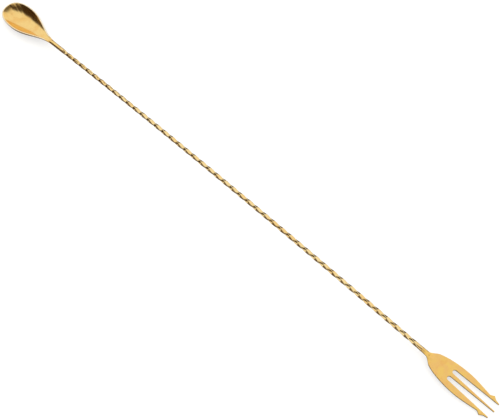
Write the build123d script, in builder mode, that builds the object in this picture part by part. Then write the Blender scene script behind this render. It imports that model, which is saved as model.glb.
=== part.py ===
from build123d import *
from math import asin, atan2, cos, pi, sin, sqrt
import os

# Bar spoon: a teardrop bowl, a twisted square stem and a barbed trident fork, brazed end to end.
# The row frame has +X from the bowl towards the fork, +Y across and +Z up, with the spoon lying on Z = 0.
# Bowl and fork stations are distances outward from each one's own joint face.

# Stem
stem_length = 369.0  # straight across between its two shoulders
stem_rise = 6.5  # of the arch's middle above the line between the shoulders
stem_side = 2.46  # across the flats of the square bar
stem_corner = 0.30
lobe_spacing = 8.0  # from one ridge to the next along the stem
lobes_per_turn = 4
twist_start = 25.0  # degrees that the square is turned at the bowl's end
guide_radius = 5.0  # helix that steers the twist
guide_steps = 12  # guide points in each turn
fade_length = 9.0  # over which each round end runs out into the twist

# Necks and brazed spigot joints
neck_margin = 0.035  # of each neck outside the bar's corners
spigot_radius = 0.95
spigot_length = 6.0
spigot_clearance = 0.04  # radial
socket_relief = 0.3  # beyond the spigot's end
braze_width = 0.6

# Bowl
bowl_neck_length = 9.0
bowl_throat_length = 6.0  # over which the top runs down from the neck to the rim
throat_rise = 0.3  # above the neck where that slope begins
throat_slope = 0.2
bowl_flare_length = 42.5  # from the neck to the widest place
bowl_nose_length = 20.3  # from the widest place to the tip
bowl_half_width = 11.6
bowl_depth = 8.0  # outside, below the rim
rim_height = 0.5  # above the neck's axis
rim_wall = 1.0
floor_wall = 1.0
nose_power = 2.4  # squareness of the nose's outline, where 2 is an ellipse
keel_power = 2.1  # the same for its depth
keel_start = 5.0  # beyond the neck, where the keel begins to drop
floor_start = 5.5  # beyond the neck, where the hollow begins
hollow_lift = 0.3  # of the hollow's ovals above the rim
flare_stations = 9
nose_stations = 9

# Fork
fork_neck_length = 3.0
fork_blend_length = 8.0  # over which the round neck flattens into the blade
fork_blend_half_width = 3.7
fork_thickness = 1.5
fork_half_width = 8.75
shoulder_length = 26.5  # quarter ellipse from the blade's start to its widest place
shoulder_start = 5.5
slot_root = 23.0
slot_half_width = 1.48
slot_offset = 2.78  # of each slot's middle at its root
prong_length = 59.0  # to the middle tine's tip
prong_tip_half_width = 0.3
tine_length = 58.3  # to the outer tines' tips
tine_tip_offset = 5.4
tine_tip_width = 0.5
barb_foot = (50.4, 6.75)
barb_foot_slope = 0.12
barb_peak = (52.9, 8.15)
barb_heel = (55.2, 6.55)

# Derived sizes of the necks, the bowl and the fork
neck_radius = stem_side / sqrt(2) - stem_corner * (sqrt(2) - 1) + neck_margin
bowl_widest = bowl_neck_length + bowl_flare_length
bowl_length = bowl_widest + bowl_nose_length
keel_depth = bowl_depth - rim_height
blade_widest = shoulder_start + shoulder_length
fork_drop = neck_radius - fork_thickness / 2  # the fork's flat back is flush with its neck

# The pose that rests the bowl's keel and the prong's tip on Z = 0, worked out from the shoulders' line
arch_radius = (stem_length**2 / 4 + stem_rise**2) / (2 * stem_rise)
end_slope = asin(stem_length / 2 / arch_radius)
level_share = (end_slope * bowl_nose_length / keel_depth) ** (1 / (keel_power - 1))
level_reach = bowl_widest + level_share * bowl_nose_length
level_drop = keel_depth * (1 - level_share**keel_power) ** (1 / keel_power)
keel_x = -level_reach * cos(end_slope) + level_drop * sin(end_slope)
keel_z = -level_reach * sin(end_slope) - level_drop * cos(end_slope)
prong_x = stem_length + (prong_length + braze_width) * cos(end_slope) - neck_radius * sin(end_slope)
prong_z = -(prong_length + braze_width) * sin(end_slope) - neck_radius * cos(end_slope)
rest_angle = atan2(prong_z - keel_z, prong_x - keel_x)
bowl_joint_z = keel_x * sin(rest_angle) - keel_z * cos(rest_angle)
bowl_joint_x = (bowl_length - stem_length - prong_length) / 2
fork_joint_x = bowl_joint_x + stem_length * cos(rest_angle)
fork_joint_z = bowl_joint_z - stem_length * sin(rest_angle)


def flare(start, end, station):
    """Share of a smooth rise, from 0 at start to 1 at end."""
    share = min(max((station - start) / (end - start), 0), 1)
    return (1 - cos(pi * share)) / 2


def nose(length, power, station):
    """Share left of a squared oval, from 1 at the widest place to 0 at the tip."""
    share = min(max((station - bowl_widest) / length, 0), 1)
    return (1 - share**power) ** (1 / power)


def face_plane(share, outward=0.0):
    """Plane square to the stem's line, with +X across and +Y up."""
    return Plane(origin=stem_line @ share, x_dir=(0, 1, 0), z_dir=stem_line % share).offset(outward)


def ovals(face, stations, half_width, half_height, middle):
    """Elliptical sections of the bowl, one at each station outward from its joint face."""
    sections = []
    for station in stations:
        with BuildSketch(face.offset(-station)) as section:
            with Locations((0, middle)):
                Ellipse(half_width(station), half_height(station))
        sections.append(section.sketch)
    return sections


with BuildLine(Plane.XZ) as arch:
    SagittaArc((bowl_joint_x, bowl_joint_z), (fork_joint_x, fork_joint_z), stem_rise)
stem_line = arch.edge()

# Twisted stem: square bar twisted along the arch, with a round shoulder and a spigot at each end
turns = stem_line.length / (lobe_spacing * lobes_per_turn)
guide_count = round(turns * guide_steps)
guide_points = []
for step in range(guide_count + 1):
    share = step / guide_count
    angle = 2 * pi * turns * share
    around = (guide_radius * cos(angle), guide_radius * sin(angle), 0)
    guide_points.append(face_plane(share).from_local_coords(around))

with BuildPart() as twisted_stem:
    with BuildSketch(face_plane(0)):
        RectangleRounded(stem_side, stem_side, stem_corner, rotation=twist_start)
    sweep(path=stem_line, binormal=Spline(guide_points))
    for share, inward in ((0, 1), (1, -1)):
        with BuildSketch(face_plane(share)):
            Circle(neck_radius)
        with BuildSketch(face_plane(share, inward * fade_length)):
            Circle(stem_side / 2)
        loft()
        with BuildSketch(face_plane(share)):
            Circle(spigot_radius)
        extrude(amount=-inward * spigot_length)
twisted_stem.part.label = "twisted_stem"

# Bowl: an outer body of ovals cut level at the rim, then hollowed by a second set of ovals
bowl_face = face_plane(0, -braze_width)
keel_begins = bowl_neck_length + keel_start
floor_begins = bowl_neck_length + floor_start
hollow_nose = bowl_nose_length - rim_wall
floor_depth = bowl_depth - floor_wall
hollow_middle = rim_height + hollow_lift


def outer_half_width(station):
    widening = (bowl_half_width - neck_radius) * flare(bowl_neck_length, bowl_widest, station)
    return (neck_radius + widening) * nose(bowl_nose_length, nose_power, station)


def outer_depth(station):
    deepening = (keel_depth - neck_radius) * flare(keel_begins, bowl_widest, station)
    return (neck_radius + deepening) * nose(bowl_nose_length, keel_power, station)


def hollow_half_width(station):
    widening = (bowl_half_width - neck_radius) * flare(bowl_neck_length, bowl_widest, station)
    return (neck_radius + widening - rim_wall) * nose(hollow_nose, nose_power, station)


def hollow_depth(station):
    hollowing = floor_depth * flare(floor_begins, bowl_widest, station)
    return hollow_lift + hollowing * nose(hollow_nose, keel_power, station)


def stations(start, nose_length):
    """Even steps along the flare, then steps that close up towards the tip."""
    places = []
    for step in range(flare_stations):
        places.append(start + (bowl_widest - start) * step / flare_stations)
    for step in range(nose_stations):
        places.append(bowl_widest + nose_length * sin(pi / 2 * step / nose_stations))
    return places


outer_stations = stations(bowl_neck_length, bowl_nose_length)
hollow_stations = stations(floor_begins, hollow_nose)[1:]
outer_ovals = ovals(bowl_face, outer_stations, outer_half_width, outer_depth, 0)
hollow_ovals = ovals(bowl_face, hollow_stations, hollow_half_width, hollow_depth, hollow_middle)
outer_tip = Vertex(bowl_face.from_local_coords((0, 0, -bowl_length)))
hollow_tip = Vertex(bowl_face.from_local_coords((0, hollow_middle, rim_wall - bowl_length)))
hollow_start = Vertex(bowl_face.from_local_coords((0, hollow_middle, -floor_begins)))
bowl_side = Plane(origin=bowl_face.origin, x_dir=-bowl_face.z_dir, z_dir=(0, 1, 0))

with BuildPart() as teardrop_bowl:
    with BuildSketch(bowl_face):
        Circle(neck_radius)
    extrude(amount=-bowl_neck_length)
    loft(sections=[*outer_ovals, outer_tip])
    with BuildSketch(bowl_side):  # everything above the rim, with the throat's slope
        with BuildLine():
            throat = Spline(
                (bowl_neck_length, neck_radius + throat_rise),
                (bowl_neck_length + bowl_throat_length, rim_height),
                tangents=((1, -throat_slope), (1, 0)),
            )
            Polyline(
                throat @ 1,
                (bowl_length + bowl_depth, rim_height),
                (bowl_length + bowl_depth, bowl_half_width),
                (bowl_neck_length, bowl_half_width),
                throat @ 0,
            )
        make_face()
    extrude(amount=bowl_half_width + bowl_depth, both=True, mode=Mode.SUBTRACT)
    loft(sections=[hollow_start, *hollow_ovals, hollow_tip], mode=Mode.SUBTRACT)
    with BuildSketch(bowl_face):
        Circle(spigot_radius + spigot_clearance)
    extrude(amount=braze_width - spigot_length - socket_relief, mode=Mode.SUBTRACT)
teardrop_bowl.part.label = "teardrop_bowl"

# Fork: a flat blade with a shouldered outline, two slots and barbed outer tines, on a round neck
fork_face = face_plane(1, braze_width)
fork_plan = Plane(origin=fork_face.origin, x_dir=fork_face.z_dir, z_dir=fork_face.y_dir).offset(-fork_drop)

with BuildPart() as trident_fork:
    with BuildSketch(fork_face):
        Circle(neck_radius)
    extrude(amount=fork_neck_length)
    with BuildSketch(fork_face.offset(fork_neck_length)):
        Circle(neck_radius)
    with BuildSketch(fork_face.offset(fork_neck_length + fork_blend_length)):
        with Locations((0, -fork_drop)):
            Rectangle(2 * fork_blend_half_width, fork_thickness)
    loft()
    with BuildSketch(fork_plan):
        with BuildLine():
            EllipticalCenterArc((blade_widest, 0), shoulder_length, fork_half_width, 90, arc_size=90)
            Spline((blade_widest, fork_half_width), barb_foot, tangents=((1, 0), (1, -barb_foot_slope)))
            Polyline(barb_foot, barb_peak, barb_heel, (tine_length, tine_tip_offset + tine_tip_width))
            Polyline(
                (tine_length, tine_tip_offset + tine_tip_width),
                (tine_length, tine_tip_offset),
                (slot_root + slot_half_width, slot_offset + slot_half_width),
            )
            ThreePointArc(
                (slot_root + slot_half_width, slot_offset + slot_half_width),
                (slot_root, slot_offset),
                (slot_root + slot_half_width, slot_offset - slot_half_width),
            )
            Polyline(
                (slot_root + slot_half_width, slot_offset - slot_half_width),
                (prong_length, prong_tip_half_width),
                (prong_length, 0),
                (shoulder_start, 0),
            )
        make_face()
        mirror(about=Plane.XZ)
    extrude(amount=fork_thickness / 2, both=True)
    with BuildSketch(fork_face):
        Circle(spigot_radius + spigot_clearance)
    extrude(amount=spigot_length - braze_width + socket_relief, mode=Mode.SUBTRACT)
trident_fork.part.label = "trident_fork"

# Brazing filler between each neck and the stem's shoulder
braze_rings = []
for label, ring_face in (("bowl_braze_ring", bowl_face), ("fork_braze_ring", face_plane(1))):
    with BuildPart() as braze_ring:
        with BuildSketch(ring_face):
            Circle(neck_radius)
            Circle(spigot_radius + spigot_clearance, mode=Mode.SUBTRACT)
        extrude(amount=braze_width)
    braze_ring.part.label = label
    braze_rings.append(braze_ring)

os.makedirs("parts", exist_ok=True)
for piece in (teardrop_bowl, twisted_stem, trident_fork, *braze_rings):
    export_step(piece.part, f"parts/{piece.part.label}.step")
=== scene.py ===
from math import asin, cos, hypot, pi, radians, sin, sqrt
import bmesh
import bpy
from mathutils import Matrix, Vector


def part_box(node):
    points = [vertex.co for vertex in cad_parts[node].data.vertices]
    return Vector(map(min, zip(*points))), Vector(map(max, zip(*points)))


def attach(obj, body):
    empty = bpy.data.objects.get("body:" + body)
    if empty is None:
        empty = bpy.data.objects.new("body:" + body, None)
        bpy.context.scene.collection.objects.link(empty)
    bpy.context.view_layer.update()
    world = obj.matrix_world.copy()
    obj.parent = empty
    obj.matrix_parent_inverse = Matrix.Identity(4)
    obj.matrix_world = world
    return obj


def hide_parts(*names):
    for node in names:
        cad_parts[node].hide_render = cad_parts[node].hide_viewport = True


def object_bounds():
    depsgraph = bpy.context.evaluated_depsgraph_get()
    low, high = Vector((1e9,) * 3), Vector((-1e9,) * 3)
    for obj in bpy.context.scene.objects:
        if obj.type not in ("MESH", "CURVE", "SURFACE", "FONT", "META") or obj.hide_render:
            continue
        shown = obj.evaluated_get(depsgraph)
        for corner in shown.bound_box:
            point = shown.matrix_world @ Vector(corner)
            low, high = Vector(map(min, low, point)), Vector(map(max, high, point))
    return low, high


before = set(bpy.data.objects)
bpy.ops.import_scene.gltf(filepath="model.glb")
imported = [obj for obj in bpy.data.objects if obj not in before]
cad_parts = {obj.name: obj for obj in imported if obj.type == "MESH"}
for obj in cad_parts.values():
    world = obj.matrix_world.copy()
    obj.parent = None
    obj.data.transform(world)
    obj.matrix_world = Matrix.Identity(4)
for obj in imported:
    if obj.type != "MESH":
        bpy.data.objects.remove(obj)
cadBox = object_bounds()
mm = 0.001
hair = 0.001 * mm  # a distance under this counts as none
scene = bpy.context.scene
scene.view_settings.view_transform = "Standard"


def newObject(name, shape, material):
    # an object at the origin with the finished mesh of a bmesh
    mesh = bpy.data.meshes.new(name)
    shape.to_mesh(mesh)
    shape.free()
    mesh.materials.append(material)
    made = bpy.data.objects.new(name, mesh)
    scene.collection.objects.link(made)
    return made


def newSurface(name):
    # a material with nothing in it but its output
    material = bpy.data.materials.new(name)
    material.use_nodes = True
    nodes, links = material.node_tree.nodes, material.node_tree.links
    nodes.clear()
    return material, nodes, links, nodes.new("ShaderNodeOutputMaterial")


def largest(nodes, links, values):
    most = values[0]
    for value in values[1:]:
        both = nodes.new("ShaderNodeMath")
        both.operation = "MAXIMUM"
        links.new(most, both.inputs[0])
        links.new(value, both.inputs[1])
        most = both.outputs["Value"]
    return most


cameraView = {
    "place": (0.3102, -0.1832, 0.6403),
    "aim": (0.0367, -0.0035, 0.0130),
    "roll": -13.87,  # degrees about the line of sight
    "lens": 72.0,
    "sensor": 36.0,
}


def makeCamera():
    eye = bpy.data.cameras.new("studioCamera")
    eye.lens = cameraView["lens"]
    eye.sensor_width = cameraView["sensor"]
    camera = bpy.data.objects.new("studioCamera", eye)
    place = Vector(cameraView["place"])
    look = (Vector(cameraView["aim"]) - place).to_track_quat("-Z", "Y").to_matrix().to_4x4()
    roll = Matrix.Rotation(radians(cameraView["roll"]), 4, "Z")
    camera.matrix_world = Matrix.Translation(place) @ look @ roll
    scene.collection.objects.link(camera)
    scene.camera = camera


floorLook = {
    "radius": 3.0,
    "below": 0.0004,  # under the spoon, so that nothing flickers where it rests
    "segments": 96,
    "paper": (0.93, 0.925, 0.915, 1),
    "mirrored": (0.110, 0.085, 0.060, 1),  # what polished metal sees of it
    "lift": 0.62,  # share of its own light, which softens the shadows
    "roughness": 0.85,
}


def makeFloor():
    material, nodes, links, output = newSurface("paperFloor")
    paper = nodes.new("ShaderNodeBsdfDiffuse")
    paper.inputs["Color"].default_value = floorLook["paper"]
    paper.inputs["Roughness"].default_value = floorLook["roughness"]
    glow = nodes.new("ShaderNodeEmission")
    lifted = nodes.new("ShaderNodeMixShader")
    lifted.inputs["Fac"].default_value = floorLook["lift"]
    links.new(paper.outputs["BSDF"], lifted.inputs[1])
    links.new(glow.outputs["Emission"], lifted.inputs[2])
    mirrored = nodes.new("ShaderNodeBsdfDiffuse")
    mirrored.inputs["Color"].default_value = floorLook["mirrored"]
    path = nodes.new("ShaderNodeLightPath")
    mix = nodes.new("ShaderNodeMixShader")
    links.new(path.outputs["Is Glossy Ray"], mix.inputs["Fac"])
    links.new(lifted.outputs["Shader"], mix.inputs[1])
    links.new(mirrored.outputs["BSDF"], mix.inputs[2])
    links.new(mix.outputs["Shader"], output.inputs["Surface"])
    shape = bmesh.new()
    bmesh.ops.create_circle(shape, cap_ends=True, segments=floorLook["segments"],
                            radius=floorLook["radius"])
    bmesh.ops.translate(shape, verts=shape.verts, vec=(0, 0, cadBox[0][2] - floorLook["below"]))
    newObject("paperFloor", shape, material)


roomLook = {
    "bright": (1.0, 0.985, 0.95, 1),
    "dim": (0.050, 0.028, 0.012, 1),
    "backdrop": (0.97, 0.965, 0.955, 1),
    "strength": 1.0,
    # unlit parts of the room: direction, then the cosines where each begins and is full
    "unlit": (
        ((-0.78, -0.61, 0.12), 0.925, 0.965),
        ((-0.52, -0.72, 0.44), 0.93, 0.965),
        ((-0.24, -0.56, 0.79), 0.965, 0.985),
        ((-0.05, -0.28, 0.96), 0.975, 0.992),
        ((0.06, -0.07, 0.99), 0.984, 0.995),
    ),
}


def makeRoom():
    world = bpy.data.worlds.new("studioRoom")
    world.use_nodes = True
    nodes, links = world.node_tree.nodes, world.node_tree.links
    nodes.clear()
    output = nodes.new("ShaderNodeOutputWorld")
    background = nodes.new("ShaderNodeBackground")
    background.inputs["Strength"].default_value = roomLook["strength"]
    place = nodes.new("ShaderNodeTexCoord")
    shades = []
    for direction, begins, full in roomLook["unlit"]:
        facing = nodes.new("ShaderNodeVectorMath")
        facing.operation = "DOT_PRODUCT"
        facing.inputs[1].default_value = Vector(direction).normalized()
        links.new(place.outputs["Generated"], facing.inputs[0])
        soft = nodes.new("ShaderNodeMapRange")
        soft.interpolation_type = "SMOOTHSTEP"
        soft.inputs["From Min"].default_value = begins
        soft.inputs["From Max"].default_value = full
        links.new(facing.outputs["Value"], soft.inputs["Value"])
        shades.append(soft.outputs["Result"])
    room = nodes.new("ShaderNodeMix")
    room.data_type = "RGBA"
    room.inputs["A"].default_value = roomLook["bright"]
    room.inputs["B"].default_value = roomLook["dim"]
    links.new(largest(nodes, links, shades), room.inputs["Factor"])
    seen = nodes.new("ShaderNodeMix")
    seen.data_type = "RGBA"
    seen.inputs["B"].default_value = roomLook["backdrop"]
    path = nodes.new("ShaderNodeLightPath")
    links.new(path.outputs["Is Camera Ray"], seen.inputs["Factor"])
    links.new(room.outputs["Result"], seen.inputs["A"])
    links.new(seen.outputs["Result"], background.inputs["Color"])
    links.new(background.outputs["Background"], output.inputs["Surface"])
    scene.world = world


# an unlit card close over the bowl, which only polished metal sees
flagCard = {
    "place": (-0.232, 0.067, 0.105),
    "size": (0.028, 0.170),
    "turn": 9.0,  # degrees about the upright
}


def makeFlag():
    material, nodes, links, output = newSurface("flagCard")
    glow = nodes.new("ShaderNodeEmission")
    glow.inputs["Color"].default_value = roomLook["dim"]
    links.new(glow.outputs["Emission"], output.inputs["Surface"])
    shape = bmesh.new()
    bmesh.ops.create_grid(shape, x_segments=1, y_segments=1, size=0.5)
    bmesh.ops.scale(shape, verts=shape.verts, vec=(*flagCard["size"], 1))
    bmesh.ops.rotate(shape, verts=shape.verts, matrix=Matrix.Rotation(radians(flagCard["turn"]), 3, "Z"))
    bmesh.ops.translate(shape, verts=shape.verts, vec=flagCard["place"])
    card = newObject("flagCard", shape, material)
    card.visible_camera = False
    card.visible_diffuse = False
    card.visible_shadow = False


# each soft box has its place, size across, power in watts and colour
softBoxes = {
    "overheadBox": ((0.10, 0.30, 1.50), 2.60, 22.0, (1.0, 0.985, 0.96)),
    "sideBox": ((-1.30, -0.20, 1.00), 1.60, 8.0, (1.0, 0.98, 0.95)),
}


def makeLights():
    for name, (place, across, power, colour) in softBoxes.items():
        lamp = bpy.data.lights.new(name, "AREA")
        lamp.shape = "DISK"
        lamp.size = across
        lamp.energy = power
        lamp.color = colour
        light = bpy.data.objects.new(name, lamp)
        light.location = place
        light.visible_glossy = False  # the gold mirrors the room, not the lamps
        light.rotation_euler = (-Vector(place)).to_track_quat("-Z", "Y").to_euler()
        scene.collection.objects.link(light)


makeCamera()
makeFloor()
makeRoom()
makeFlag()
makeLights()
print("camera, floor and studio light are set")


def newGroup(name, inputs, outputs):
    group = bpy.data.node_groups.new(name, "ShaderNodeTree")
    for label, kind, value in inputs:
        socket = group.interface.new_socket(name=label, in_out="INPUT", socket_type=kind)
        if value is not None:
            socket.default_value = value
    for label, kind in outputs:
        group.interface.new_socket(name=label, in_out="OUTPUT", socket_type=kind)
    return group, group.nodes.new("NodeGroupInput"), group.nodes.new("NodeGroupOutput")


grain = {
    "lineDetail": 3.0,
    "lineRoughness": 0.6,
    "cloudDetail": 2.5,
    "cloudSwirl": 0.6,
    "scratchTurns": (0.4, -0.7),  # radians from the spoon's length
    "scratchStretch": 0.12,
}


def makePolishLines():
    # fine polishing marks drawn out along the spoon
    group, given, result = newGroup(
        "polishLines",
        (("Coordinates", "NodeSocketVector", None), ("Fineness", "NodeSocketFloat", 900.0),
         ("Stretch", "NodeSocketFloat", 0.04)),
        (("Lines", "NodeSocketFloat"),),
    )
    nodes, links = group.nodes, group.links
    squash = nodes.new("ShaderNodeCombineXYZ")
    squash.inputs["Y"].default_value = 1.0
    squash.inputs["Z"].default_value = 1.0
    links.new(given.outputs["Stretch"], squash.inputs["X"])
    scaled = nodes.new("ShaderNodeVectorMath")
    scaled.operation = "MULTIPLY"
    links.new(given.outputs["Coordinates"], scaled.inputs[0])
    links.new(squash.outputs["Vector"], scaled.inputs[1])
    noise = nodes.new("ShaderNodeTexNoise")
    noise.inputs["Detail"].default_value = grain["lineDetail"]
    noise.inputs["Roughness"].default_value = grain["lineRoughness"]
    links.new(scaled.outputs["Vector"], noise.inputs["Vector"])
    links.new(given.outputs["Fineness"], noise.inputs["Scale"])
    links.new(noise.outputs["Fac"], result.inputs["Lines"])
    return group


def makePlatingClouds():
    # slow change of tone where the plating is thicker or warmer
    group, given, result = newGroup(
        "platingClouds",
        (("Coordinates", "NodeSocketVector", None), ("Size", "NodeSocketFloat", 120.0),
         ("Low", "NodeSocketFloat", 0.42), ("High", "NodeSocketFloat", 0.62)),
        (("Clouds", "NodeSocketFloat"),),
    )
    nodes, links = group.nodes, group.links
    noise = nodes.new("ShaderNodeTexNoise")
    noise.inputs["Detail"].default_value = grain["cloudDetail"]
    noise.inputs["Distortion"].default_value = grain["cloudSwirl"]
    links.new(given.outputs["Coordinates"], noise.inputs["Vector"])
    links.new(given.outputs["Size"], noise.inputs["Scale"])
    spread = nodes.new("ShaderNodeMapRange")
    spread.interpolation_type = "SMOOTHSTEP"
    links.new(noise.outputs["Fac"], spread.inputs["Value"])
    links.new(given.outputs["Low"], spread.inputs["From Min"])
    links.new(given.outputs["High"], spread.inputs["From Max"])
    links.new(spread.outputs["Result"], result.inputs["Clouds"])
    return group


def makeHairScratches():
    # a few thin scratches that cross at odd angles, from handling and washing
    group, given, result = newGroup(
        "hairScratches",
        (("Coordinates", "NodeSocketVector", None), ("Density", "NodeSocketFloat", 260.0),
         ("Width", "NodeSocketFloat", 0.03)),
        (("Scratches", "NodeSocketFloat"),),
    )
    nodes, links = group.nodes, group.links
    marks = []
    for turn in grain["scratchTurns"]:
        turned = nodes.new("ShaderNodeMapping")
        turned.inputs["Rotation"].default_value = (0, 0, turn)
        turned.inputs["Scale"].default_value = (grain["scratchStretch"], 1.0, 1.0)
        links.new(given.outputs["Coordinates"], turned.inputs["Vector"])
        cells = nodes.new("ShaderNodeTexVoronoi")
        cells.feature = "DISTANCE_TO_EDGE"
        links.new(turned.outputs["Vector"], cells.inputs["Vector"])
        links.new(given.outputs["Density"], cells.inputs["Scale"])
        thin = nodes.new("ShaderNodeMapRange")
        thin.inputs["To Min"].default_value = 1.0
        thin.inputs["To Max"].default_value = 0.0
        links.new(cells.outputs["Distance"], thin.inputs["Value"])
        links.new(given.outputs["Width"], thin.inputs["From Max"])
        marks.append(thin.outputs["Result"])
    links.new(largest(nodes, links, marks), result.inputs["Scratches"])
    return group


effects = {
    "lines": makePolishLines(),
    "clouds": makePlatingClouds(),
    "scratches": makeHairScratches(),
}


def goldFinish(name, look):
    material = bpy.data.materials.new(name)
    material.use_nodes = True
    nodes, links = material.node_tree.nodes, material.node_tree.links
    shader = nodes["Principled BSDF"]
    shader.inputs["Metallic"].default_value = 1.0
    place = nodes.new("ShaderNodeTexCoord")

    def effect(key, values):
        node = nodes.new("ShaderNodeGroup")
        node.node_tree = effects[key]
        links.new(place.outputs["Object"], node.inputs["Coordinates"])
        for label, value in values.items():
            node.inputs[label].default_value = value
        return node.outputs[0]

    def between(factor, low, high):
        node = nodes.new("ShaderNodeMapRange")
        node.inputs["To Min"].default_value = low
        node.inputs["To Max"].default_value = high
        links.new(factor, node.inputs["Value"])
        return node.outputs["Result"]

    def blend(factor, first, second):
        node = nodes.new("ShaderNodeMix")
        node.data_type = "RGBA"
        links.new(factor, node.inputs["Factor"])
        for label, colour in (("A", first), ("B", second)):
            if isinstance(colour, tuple):
                node.inputs[label].default_value = colour
            else:
                links.new(colour, node.inputs[label])
        return node.outputs["Result"]

    def combine(operation, first, second):
        node = nodes.new("ShaderNodeMath")
        node.operation = operation
        for slot, value in enumerate((first, second)):
            if isinstance(value, float):
                node.inputs[slot].default_value = value
            else:
                links.new(value, node.inputs[slot])
        return node.outputs["Value"]

    lines = effect("lines", look["lines"])
    clouds = effect("clouds", look["clouds"])
    spots = effect("clouds", look["spots"])
    scratches = effect("scratches", look["scratches"])
    edge = nodes.new("ShaderNodeAttribute")
    edge.attribute_name = "edge"

    tone = blend(clouds, look["pale"], look["warm"])
    tone = blend(combine("MULTIPLY", spots, look["spotAmount"]), tone, look["deep"])
    # the edge mask blends in a paler colour: a painted highlight on the bowl's rim crown and on the
    # fork's walls and bevels, and paler ridges on the stem
    tone = blend(combine("MULTIPLY", edge.outputs["Fac"], look["edgeAmount"]), tone, look["wearAndSheen"])
    links.new(tone, shader.inputs["Base Color"])

    rough = between(lines, look["smooth"], look["rough"])
    rough = combine("ADD", rough, combine("MULTIPLY", scratches, look["scratchRough"]))
    links.new(rough, shader.inputs["Roughness"])

    bump = nodes.new("ShaderNodeBump")
    bump.inputs["Strength"].default_value = look["bump"]
    bump.inputs["Distance"].default_value = look["bumpDepth"]
    relief = combine("ADD", lines, combine("MULTIPLY", scratches, look["scratchDepth"]))
    links.new(relief, bump.inputs["Height"])
    links.new(bump.outputs["Normal"], shader.inputs["Normal"])
    return material


bowlGold = {
    "pale": (0.905, 0.640, 0.245, 1),
    "warm": (0.880, 0.560, 0.190, 1),
    "deep": (0.800, 0.440, 0.120, 1),
    # the paler colour painted on the rim crown as a highlight line
    "wearAndSheen": (0.980, 0.880, 0.660, 1),
    "spotAmount": 0.35,
    "edgeAmount": 0.9,
    "lines": {"Fineness": 1400.0, "Stretch": 0.10},
    "clouds": {"Size": 95.0, "Low": 0.40, "High": 0.64},
    "spots": {"Size": 260.0, "Low": 0.56, "High": 0.72},
    "scratches": {"Density": 210.0, "Width": 0.012},
    "smooth": 0.10,
    "rough": 0.22,
    "scratchRough": 0.06,
    "scratchDepth": -0.3,
    "bump": 0.12,
    "bumpDepth": 0.00004,
}
stemGold = {
    "pale": (0.930, 0.710, 0.340, 1),
    "warm": (0.900, 0.620, 0.250, 1),
    "deep": (0.720, 0.430, 0.130, 1),
    "wearAndSheen": (0.960, 0.790, 0.480, 1),
    "spotAmount": 0.30,
    "edgeAmount": 0.35,
    "lines": {"Fineness": 1800.0, "Stretch": 0.05},
    "clouds": {"Size": 60.0, "Low": 0.42, "High": 0.62},
    "spots": {"Size": 300.0, "Low": 0.55, "High": 0.70},
    "scratches": {"Density": 300.0, "Width": 0.012},
    "smooth": 0.10,
    "rough": 0.20,
    "scratchRough": 0.05,
    "scratchDepth": -0.3,
    "bump": 0.10,
    "bumpDepth": 0.00003,
}
forkGold = {
    "pale": (0.920, 0.610, 0.170, 1),
    "warm": (0.900, 0.560, 0.190, 1),
    "deep": (0.870, 0.460, 0.130, 1),
    # the greyer, paler colour painted on the walls and bevels as a highlight
    "wearAndSheen": (0.850, 0.680, 0.380, 1),
    "spotAmount": 0.45,
    "edgeAmount": 0.5,
    "lines": {"Fineness": 1500.0, "Stretch": 0.03},
    "clouds": {"Size": 140.0, "Low": 0.40, "High": 0.62},
    "spots": {"Size": 230.0, "Low": 0.52, "High": 0.70},
    "scratches": {"Density": 240.0, "Width": 0.014},
    "smooth": 0.26,
    "rough": 0.42,
    "scratchRough": 0.06,
    "scratchDepth": -0.3,
    "bump": 0.22,
    "bumpDepth": 0.00005,
}
brazeGold = {
    "pale": (0.870, 0.600, 0.230, 1),
    "warm": (0.840, 0.520, 0.180, 1),
    "deep": (0.640, 0.380, 0.130, 1),
    "wearAndSheen": (0.940, 0.760, 0.450, 1),
    "spotAmount": 0.60,
    "edgeAmount": 0.3,
    "lines": {"Fineness": 2200.0, "Stretch": 1.00},
    "clouds": {"Size": 500.0, "Low": 0.42, "High": 0.62},
    "spots": {"Size": 900.0, "Low": 0.50, "High": 0.66},
    "scratches": {"Density": 500.0, "Width": 0.020},
    "smooth": 0.20,
    "rough": 0.36,
    "scratchRough": 0.05,
    "scratchDepth": -0.2,
    "bump": 0.20,
    "bumpDepth": 0.00003,
}
finishes = {
    "bowl": goldFinish("polishedBowlGold", bowlGold),
    "stem": goldFinish("twistedStemGold", stemGold),
    "fork": goldFinish("satinForkGold", forkGold),
    "braze": goldFinish("brazedSeamGold", brazeGold),
}
print("gold finishes are ready")


# the arch that every piece follows, measured between the stem's shoulders
arch = {"across": 369.0 * mm, "rise": 6.5 * mm}


def boxMiddle(node):
    low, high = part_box(node)
    return (Vector(low) + Vector(high)) / 2


bowlSeam = boxMiddle("bowl_braze_ring")
forkSeam = boxMiddle("fork_braze_ring")
seamLow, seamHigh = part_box("bowl_braze_ring")
neckRadius = (seamHigh[1] - seamLow[1]) / 2
seamHalf = 0.3 * mm  # half the braze's width along the spoon
archRadius = (arch["across"] ** 2 / 4 + arch["rise"] ** 2) / (2 * arch["rise"])
archHalf = archRadius * asin((forkSeam - bowlSeam).length / 2 / archRadius)
archAlong = (forkSeam - bowlSeam).normalized()
archUp = archAlong.cross(Vector((0, 1, 0)))
archCentre = (bowlSeam + forkSeam) / 2 - archUp * archRadius * cos(archHalf / archRadius)


def archFrame(distance):
    # X along the arch, Y across and Z up, at a distance from the arch's middle
    turn = distance / archRadius
    up = archUp * cos(turn) + archAlong * sin(turn)
    along = archAlong * cos(turn) - archUp * sin(turn)
    place = archCentre + up * archRadius
    axes = Matrix((along, Vector((0, 1, 0)), up)).transposed().to_4x4()
    return Matrix.Translation(place) @ axes


def ease(start, end, place):
    share = min(max((place - start) / (end - start), 0), 1)
    return (1 - cos(pi * share)) / 2


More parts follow.
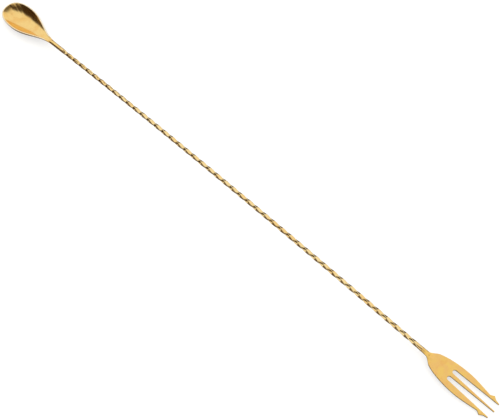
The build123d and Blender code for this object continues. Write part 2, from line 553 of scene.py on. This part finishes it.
def lerp(first, second, share):
    return first + (second - first) * share


# the stem's spigots, the gap round each in its socket and the space left past its end
spigot = {"radius": 0.95 * mm, "length": 6.0 * mm, "gap": 0.04 * mm, "relief": 0.3 * mm}
sharpAngle = radians(38)  # edges turned more than this stay crisp


def closeEnds(shape):
    rims = [edge for edge in shape.edges if edge.is_boundary]
    return bmesh.ops.holes_fill(shape, edges=rims, sides=0)["faces"]


def stepEnd(shape, face, radius, push):
    # a smaller round carried out of an end face as a spigot, or into it as a socket
    for share, move in ((radius / neckRadius, Vector((0, 0, 0))), (1, push)):
        face = bmesh.ops.extrude_discrete_faces(shape, faces=[face])["faces"][0]
        middle = Matrix.Translation(-face.calc_center_bounds())
        bmesh.ops.scale(shape, verts=face.verts, vec=(share, share, share), space=middle)
        bmesh.ops.translate(shape, verts=face.verts, vec=move)


def finishPiece(shape, name, node, finish):
    bmesh.ops.recalc_face_normals(shape, faces=shape.faces)
    for face in shape.faces:
        face.smooth = True
    for edge in shape.edges:
        edge.smooth = edge.is_manifold and edge.calc_face_angle() < sharpAngle
    piece = newObject(name, shape, finishes[finish])
    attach(piece, "root")
    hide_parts(node)
    print(name, "has", len(piece.data.polygons), "faces")
    return piece


bowl = {
    "neck": 9.0 * mm,
    "throat": 8.0 * mm,  # over which the neck's top opens into the rim
    "flare": 42.5 * mm,  # from the neck to the widest place
    "nose": 20.3 * mm,  # from the widest place to the tip
    "halfWidth": 11.6 * mm,
    "depth": 8.0 * mm,
    "rimHeight": 0.5 * mm,
    "rimCrown": 0.24 * mm,  # of the rounded rim over the hollow's edge
    "wall": 1.0 * mm,
    "nosePower": 2.4,  # squareness of the nose's outline, where 2 is an ellipse
    "hollow": 5.6 * mm,  # its deepest, below the rim
    "dishPower": 2.0,  # 2 is a parabola, and more is a flatter floor with steeper sides
    "keelStart": 5.0 * mm,  # beyond the neck
    "floorStart": 5.5 * mm,
    "mergeGap": 0.002 * mm,
    "halfColumns": 26,
    "rimColumns": 6,
    "bodyRows": 64,
    "rimSheenRowsFrom": 1 / 3,  # share of the body's rows before the rim crown gets its painted highlight
}


def bowlPoint(row, column, upper):
    # rows cross the neck and body; past the widest place the grid's square frames become half ovals
    inside = abs(column) / bowl["halfColumns"]  # 0 on the middle line, 1 at the rim
    side = 1 if column > 0 else -1
    widest = bowl["neck"] + bowl["flare"]
    station = widest * min(row / bowl["bodyRows"], 1)
    ahead = max(row - bowl["bodyRows"], 0) / bowl["halfColumns"]
    reach = max(inside, ahead)
    turn = 0
    if ahead and inside >= ahead:
        turn = pi / 2 - pi / 4 * ahead / inside
    elif ahead:
        turn = pi / 4 * inside / ahead
    lead = cos(turn) ** (2 / bowl["nosePower"]) if ahead else 0
    spread = sin(turn) ** (2 / bowl["nosePower"]) if ahead else 1
    opened = ease(bowl["neck"], bowl["neck"] + bowl["throat"], station)
    width = lerp(neckRadius, bowl["halfWidth"], ease(bowl["neck"], widest, station))
    keel = bowl["depth"] - bowl["rimHeight"]
    depth = lerp(neckRadius, keel, ease(bowl["neck"] + bowl["keelStart"], widest, station))
    rimTop = bowl["rimHeight"] * opened
    rimBase = rimTop - bowl["rimCrown"] * opened
    if not upper:
        start = asin(rimBase / depth)
        fall = start - (start + pi / 2) * (1 - reach)
        share = cos(fall) / cos(start)
        x = station + lead * bowl["nose"] * share
        return Vector((x, side * spread * width * share, depth * sin(fall)))
    rimReach = 1 - bowl["rimColumns"] / bowl["halfColumns"]
    hollow = bowl["hollow"] * ease(bowl["neck"] + bowl["floorStart"], widest, station)
    if reach >= rimReach:
        over = pi * (1 - reach) / (1 - rimReach)
        inset = bowl["wall"] * (1 - cos(over)) / 2
        height = rimBase + (rimTop - rimBase) * sin(over)
        share = 1
    else:
        over = pi / 2 * reach / rimReach
        inset = bowl["wall"]
        share = sin(over)
        height = rimBase - hollow * (1 - share ** bowl["dishPower"])
    x = station + lead * (bowl["nose"] - inset) * share
    y = spread * (width - inset) * share
    if not ahead:
        around = pi / 2 * (1 - inside)
        y = lerp(width * cos(around), y, opened)
        height = lerp(neckRadius * sin(around), height, opened)
    return Vector((x, side * y, height))


def makeBowl():
    shape = bmesh.new()
    rows = bowl["bodyRows"] + bowl["halfColumns"]
    columns = 2 * bowl["halfColumns"]
    bmesh.ops.create_grid(shape, x_segments=rows, y_segments=columns, size=1)
    edge = shape.verts.layers.float.new("edge")
    upper = list(shape.verts)
    copied = bmesh.ops.duplicate(shape, geom=shape.verts[:] + shape.edges[:] + shape.faces[:])
    lower = [item for item in copied["geom"] if isinstance(item, bmesh.types.BMVert)]
    place = archFrame(-archHalf)
    for verts, isUpper in ((upper, True), (lower, False)):
        for vert in verts:
            row = round((vert.co.x + 1) / 2 * rows)
            column = round(vert.co.y * bowl["halfColumns"])
            reach = max(abs(column), row - bowl["bodyRows"]) / bowl["halfColumns"]
            crown = (1 - reach) * bowl["halfColumns"] / bowl["rimColumns"]
            # the upper rim crown, past the first third of the body, is painted paler as a highlight line
            wearAndSheen = isUpper and crown < 1 and row > bowl["rimSheenRowsFrom"] * bowl["bodyRows"]
            vert[edge] = sin(pi * crown) if wearAndSheen else 0
            point = bowlPoint(row, column, isUpper)
            vert.co = place @ Vector((-seamHalf - point.x, point.y, point.z))
    bmesh.ops.remove_doubles(shape, verts=shape.verts, dist=bowl["mergeGap"])
    along = place.to_3x3() @ Vector((1, 0, 0))
    socket = spigot["length"] + spigot["relief"]
    for face in closeEnds(shape):
        stepEnd(shape, face, spigot["radius"] + spigot["gap"], -along * socket)
    finishPiece(shape, "teardropBowl", "teardrop_bowl", "bowl")


stem = {
    "side": 2.46 * mm,
    "corner": 0.30 * mm,
    "cornerSegments": 4,
    "flatCuts": 6,
    "lobe": 8.0 * mm,  # from one ridge to the next
    "lobesPerTurn": 4,
    "startTurn": 25.0,  # degrees that the square is turned at the bowl's end
    "step": 0.5 * mm,
    "fade": 9.0 * mm,  # over which each round end runs out into the twist
}


def makeStem():
    shape = bmesh.new()
    bmesh.ops.create_circle(shape, cap_ends=True, segments=4, radius=stem["side"] / sqrt(2))
    start = Matrix.Rotation(pi / 4 + radians(stem["startTurn"]), 3, "Z")
    bmesh.ops.rotate(shape, verts=shape.verts, matrix=start)
    bmesh.ops.bevel(shape, geom=shape.verts[:], offset=stem["corner"], affect="VERTICES",
                    segments=stem["cornerSegments"], profile=0.5, material=-1)
    flats = [edge for edge in shape.edges if edge.calc_length() > stem["side"] / 2]
    bmesh.ops.subdivide_edges(shape, edges=flats, cuts=stem["flatCuts"])
    length = 2 * (archHalf - seamHalf)
    steps = round(length / stem["step"])
    twist = 2 * pi * length / (stem["lobe"] * stem["lobesPerTurn"])
    bmesh.ops.spin(shape, geom=shape.verts[:] + shape.edges[:] + shape.faces[:], cent=(0, 0, 0),
                   axis=(0, 0, 1), dvec=(0, 0, length / steps), angle=twist, steps=steps)
    edge = shape.verts.layers.float.new("edge")
    for vert in shape.verts:
        distance = vert.co.z
        radius = hypot(vert.co.x, vert.co.y)
        ridge = (radius - stem["side"] / 2) / (neckRadius - stem["side"] / 2)
        fromEnd = min(distance, length - distance)
        scale = lerp(neckRadius / radius, 1, ease(0, stem["fade"], fromEnd))
        vert[edge] = min(max(ridge, 0), 1) ** 2
        place = archFrame(distance + seamHalf - archHalf)
        vert.co = place @ Vector((0, vert.co.x * scale, vert.co.y * scale))
    closeEnds(shape)
    for sign in (-1, 1):
        along = archFrame(sign * archHalf).to_3x3() @ Vector((sign, 0, 0))
        face = max(shape.faces, key=lambda item: item.calc_center_median().x * sign)
        stepEnd(shape, face, spigot["radius"], along * spigot["length"])
    finishPiece(shape, "twistedStem", "twisted_stem", "stem")


fork = {
    "neck": 0.6 * mm,
    "blend": 9.4 * mm,
    "thickness": 1.5 * mm,
    "halfWidth": 8.75 * mm,
    "shoulderStart": 4.2 * mm,
    "shoulder": 27.8 * mm,
    "shoulderSoftness": 1.6 * mm,
    "slotRoot": 23.0 * mm,
    "slotHalf": 1.48 * mm,
    "slotOffset": 2.78 * mm,
    "prong": 59.0 * mm,
    "prongTipHalf": 0.3 * mm,
    "tine": 58.3 * mm,
    "tineTipOffset": 5.4 * mm,
    "tineTipWidth": 0.5 * mm,
    "barbFoot": (50.4 * mm, 6.75 * mm),
    "barbFootSlope": -0.12,
    "barbPeak": (52.9 * mm, 8.15 * mm),
    "barbHeel": (55.2 * mm, 6.55 * mm),
    "prongColumns": 3,
    "slotColumns": 8,
    "tineColumns": 6,
    "wallCuts": 3,
    "flatDepth": 0.01 * mm,  # points nearer to a face than this belong to it, and not to the edge
    "slotBendRows": 14,  # that bend round each slot's root
    "cornerAngle": radians(50),
    "bevel": 0.20 * mm,
    "bevelSegments": 3,
}
slotEnd = fork["slotRoot"] + fork["slotHalf"]
# stations along the fork, with the rows between each and the one before
forkRows = (
    (0, 0),
    (fork["shoulderStart"], 10),
    (slotEnd, 34),
    (fork["barbFoot"][0], 30),
    (fork["barbPeak"][0], 8),
    (fork["barbHeel"][0], 7),
    (fork["tine"], 6),
)
slotRow = sum(count for station, count in forkRows if station <= slotEnd)


def forkStation(row):
    reached = 0
    for (before, _), (station, count) in zip(forkRows, forkRows[1:]):
        if row <= reached + count:
            return lerp(before, station, (row - reached) / count)
        reached += count
    return forkRows[-1][0]


def forkOutline(station):
    widest = fork["shoulderStart"] + fork["shoulder"]
    foot, peak, heel = fork["barbFoot"], fork["barbPeak"], fork["barbHeel"]
    if station <= widest:
        back = min((widest - station) / fork["shoulder"], 1)
        curve = fork["halfWidth"] * sqrt(1 - back ** 2)
        soft = fork["shoulderSoftness"] * (1 - ease(fork["shoulderStart"], widest, station))
        return (neckRadius + curve + sqrt((curve - neckRadius) ** 2 + soft ** 2)) / 2
    if station <= foot[0]:
        # a cubic that leaves the widest place level and meets the barb's foot at its slope
        share = (station - widest) / (foot[0] - widest)
        slope = fork["barbFootSlope"] * (foot[0] - widest)
        rise = lerp(fork["halfWidth"], foot[1], share * share * (3 - 2 * share))
        return rise + slope * (share ** 3 - share ** 2)
    tip = (fork["tine"], fork["tineTipOffset"] + fork["tineTipWidth"])
    for first, second in ((foot, peak), (peak, heel), (heel, tip)):
        if station <= second[0]:
            return lerp(first[1], second[1], (station - first[0]) / (second[0] - first[0]))
    return tip[1]


def forkPlan(row, column):
    station = forkStation(row)
    outline = forkOutline(station)
    past = max(station - slotEnd, 0) / (fork["tine"] - slotEnd)
    inner = lerp(fork["slotOffset"] - fork["slotHalf"], fork["prongTipHalf"], past)
    outer = lerp(fork["slotOffset"] + fork["slotHalf"], fork["tineTipOffset"], past)
    if station < slotEnd:
        narrow = outline / forkOutline(slotEnd)
        inner *= narrow
        outer *= narrow
    lane = abs(column)
    side = 1 if column > 0 else -1
    prong, slot = fork["prongColumns"], fork["prongColumns"] + fork["slotColumns"]
    if lane <= prong:
        y = inner * lane / prong
        station += past * (fork["prong"] - fork["tine"])
    elif lane <= slot:
        turn = pi * (lane - prong) / fork["slotColumns"]
        y = (inner + outer) / 2 - (outer - inner) / 2 * cos(turn)
        near = max(row - slotRow + fork["slotBendRows"], 0) / fork["slotBendRows"]
        if row <= slotRow:
            station -= fork["slotHalf"] * sin(turn) * near ** 2
    else:
        y = lerp(outer, outline, (lane - slot) / fork["tineColumns"])
    return station, side * y


def forkBlade():
    # the flat blade, its slots cut out of a grid and its edges eased
    shape = bmesh.new()
    rows = sum(count for _, count in forkRows)
    prong, slot = fork["prongColumns"], fork["prongColumns"] + fork["slotColumns"]
    half = slot + fork["tineColumns"]
    bmesh.ops.create_grid(shape, x_segments=rows, y_segments=2 * half, size=1)

    def gridPlace(point):
        return (point.x + 1) / 2 * rows, point.y * half

    gaps = []
    for face in shape.faces:
        row, column = gridPlace(face.calc_center_median())
        if row > slotRow and prong < abs(column) < slot:
            gaps.append(face)
    bmesh.ops.delete(shape, geom=gaps, context="FACES")
    for vert in shape.verts:
        row, column = gridPlace(vert.co)
        x, y = forkPlan(round(row), round(column))
        vert.co = (x, y, fork["thickness"] / 2)
    raised = bmesh.ops.extrude_face_region(shape, geom=shape.faces[:], use_keep_orig=True)
    lowered = [item for item in raised["geom"] if isinstance(item, bmesh.types.BMVert)]
    bmesh.ops.translate(shape, verts=lowered, vec=(0, 0, -fork["thickness"]))
    posts = []
    for edge in shape.edges:
        low, high = sorted(vert.co.z for vert in edge.verts)
        if high - low > fork["thickness"] / 2:
            posts.append(edge)
    bmesh.ops.subdivide_edges(shape, edges=posts, cuts=fork["wallCuts"], use_grid_fill=True)
    ends = [face for face in shape.faces if all(vert.co.x < hair for vert in face.verts)]
    bmesh.ops.delete(shape, geom=ends, context="FACES")
    closeEnds(shape)
    bmesh.ops.recalc_face_normals(shape, faces=shape.faces)
    corners = []
    for edge in shape.edges:
        blade = min(vert.co.x for vert in edge.verts) > fork["neck"] + fork["blend"]
        if blade and edge.is_manifold and edge.calc_face_angle() > fork["cornerAngle"]:
            corners.append(edge)
    bmesh.ops.bevel(shape, geom=corners, offset=fork["bevel"], affect="EDGES", clamp_overlap=True,
                    segments=fork["bevelSegments"], profile=0.5, material=-1)
    return shape


def makeFork():
    shape = forkBlade()
    edge = shape.verts.layers.float.new("edge")
    drop = neckRadius - fork["thickness"] / 2  # the flat back is flush with the neck's underside
    place = archFrame(archHalf)
    for vert in shape.verts:
        flat = ease(fork["neck"], fork["neck"] + fork["blend"], vert.co.x)
        x, y, z = vert.co
        fromMiddle = max(hypot(y, z), hair)
        roundY, roundZ = y * neckRadius / fromMiddle, z * neckRadius / fromMiddle
        y, z = lerp(roundY, y, flat), lerp(roundZ, z, flat) - drop * flat
        onFlat = abs(vert.co.z) > fork["thickness"] / 2 - fork["flatDepth"]
        # walls and bevels, off the flat faces, are painted paler as a highlight
        vert[edge] = 0 if onFlat or flat < 1 else 1
        vert.co = place @ Vector((x + seamHalf, y, z))
    along = place.to_3x3() @ Vector((1, 0, 0))
    face = min(shape.faces, key=lambda item: item.calc_center_median().x)
    socket = spigot["length"] - 2 * seamHalf + spigot["relief"]
    stepEnd(shape, face, spigot["radius"] + spigot["gap"], along * socket)
    piece = finishPiece(shape, "tridentFork", "trident_fork", "fork")
    even = piece.modifiers.new("evenShading", "WEIGHTED_NORMAL")
    even.keep_sharp = True


braze = {"bulge": 0.03 * mm, "segments": 96, "round": 0.12 * mm, "roundSegments": 3}


def makeBraze(name, node, seam):
    shape = bmesh.new()
    place = archFrame(seam)
    bore = spigot["radius"] + spigot["gap"]
    outer = neckRadius + braze["bulge"]
    corners = [(-seamHalf, bore), (seamHalf, bore), (seamHalf, outer), (-seamHalf, outer)]
    ring = [shape.verts.new((x, 0, z)) for x, z in corners]
    shape.faces.new(ring)
    bmesh.ops.bevel(shape, geom=ring[2:], offset=braze["round"], affect="VERTICES",
                    segments=braze["roundSegments"], profile=0.5, material=-1)
    bmesh.ops.spin(shape, geom=shape.verts[:] + shape.edges[:] + shape.faces[:], cent=(0, 0, 0),
                   axis=(1, 0, 0), angle=2 * pi, steps=braze["segments"], use_merge=True)
    insides = [face for face in shape.faces if len(face.verts) > 4]
    bmesh.ops.delete(shape, geom=insides, context="FACES_ONLY")
    bmesh.ops.remove_doubles(shape, verts=shape.verts, dist=hair)
    shape.verts.layers.float.new("edge")
    bmesh.ops.transform(shape, matrix=place, verts=shape.verts)
    finishPiece(shape, name, node, "braze")


makeBowl()
makeStem()
makeFork()
makeBraze("bowlBraze", "bowl_braze_ring", -archHalf)
makeBraze("forkBraze", "fork_braze_ring", archHalf)
print("all pieces are made")
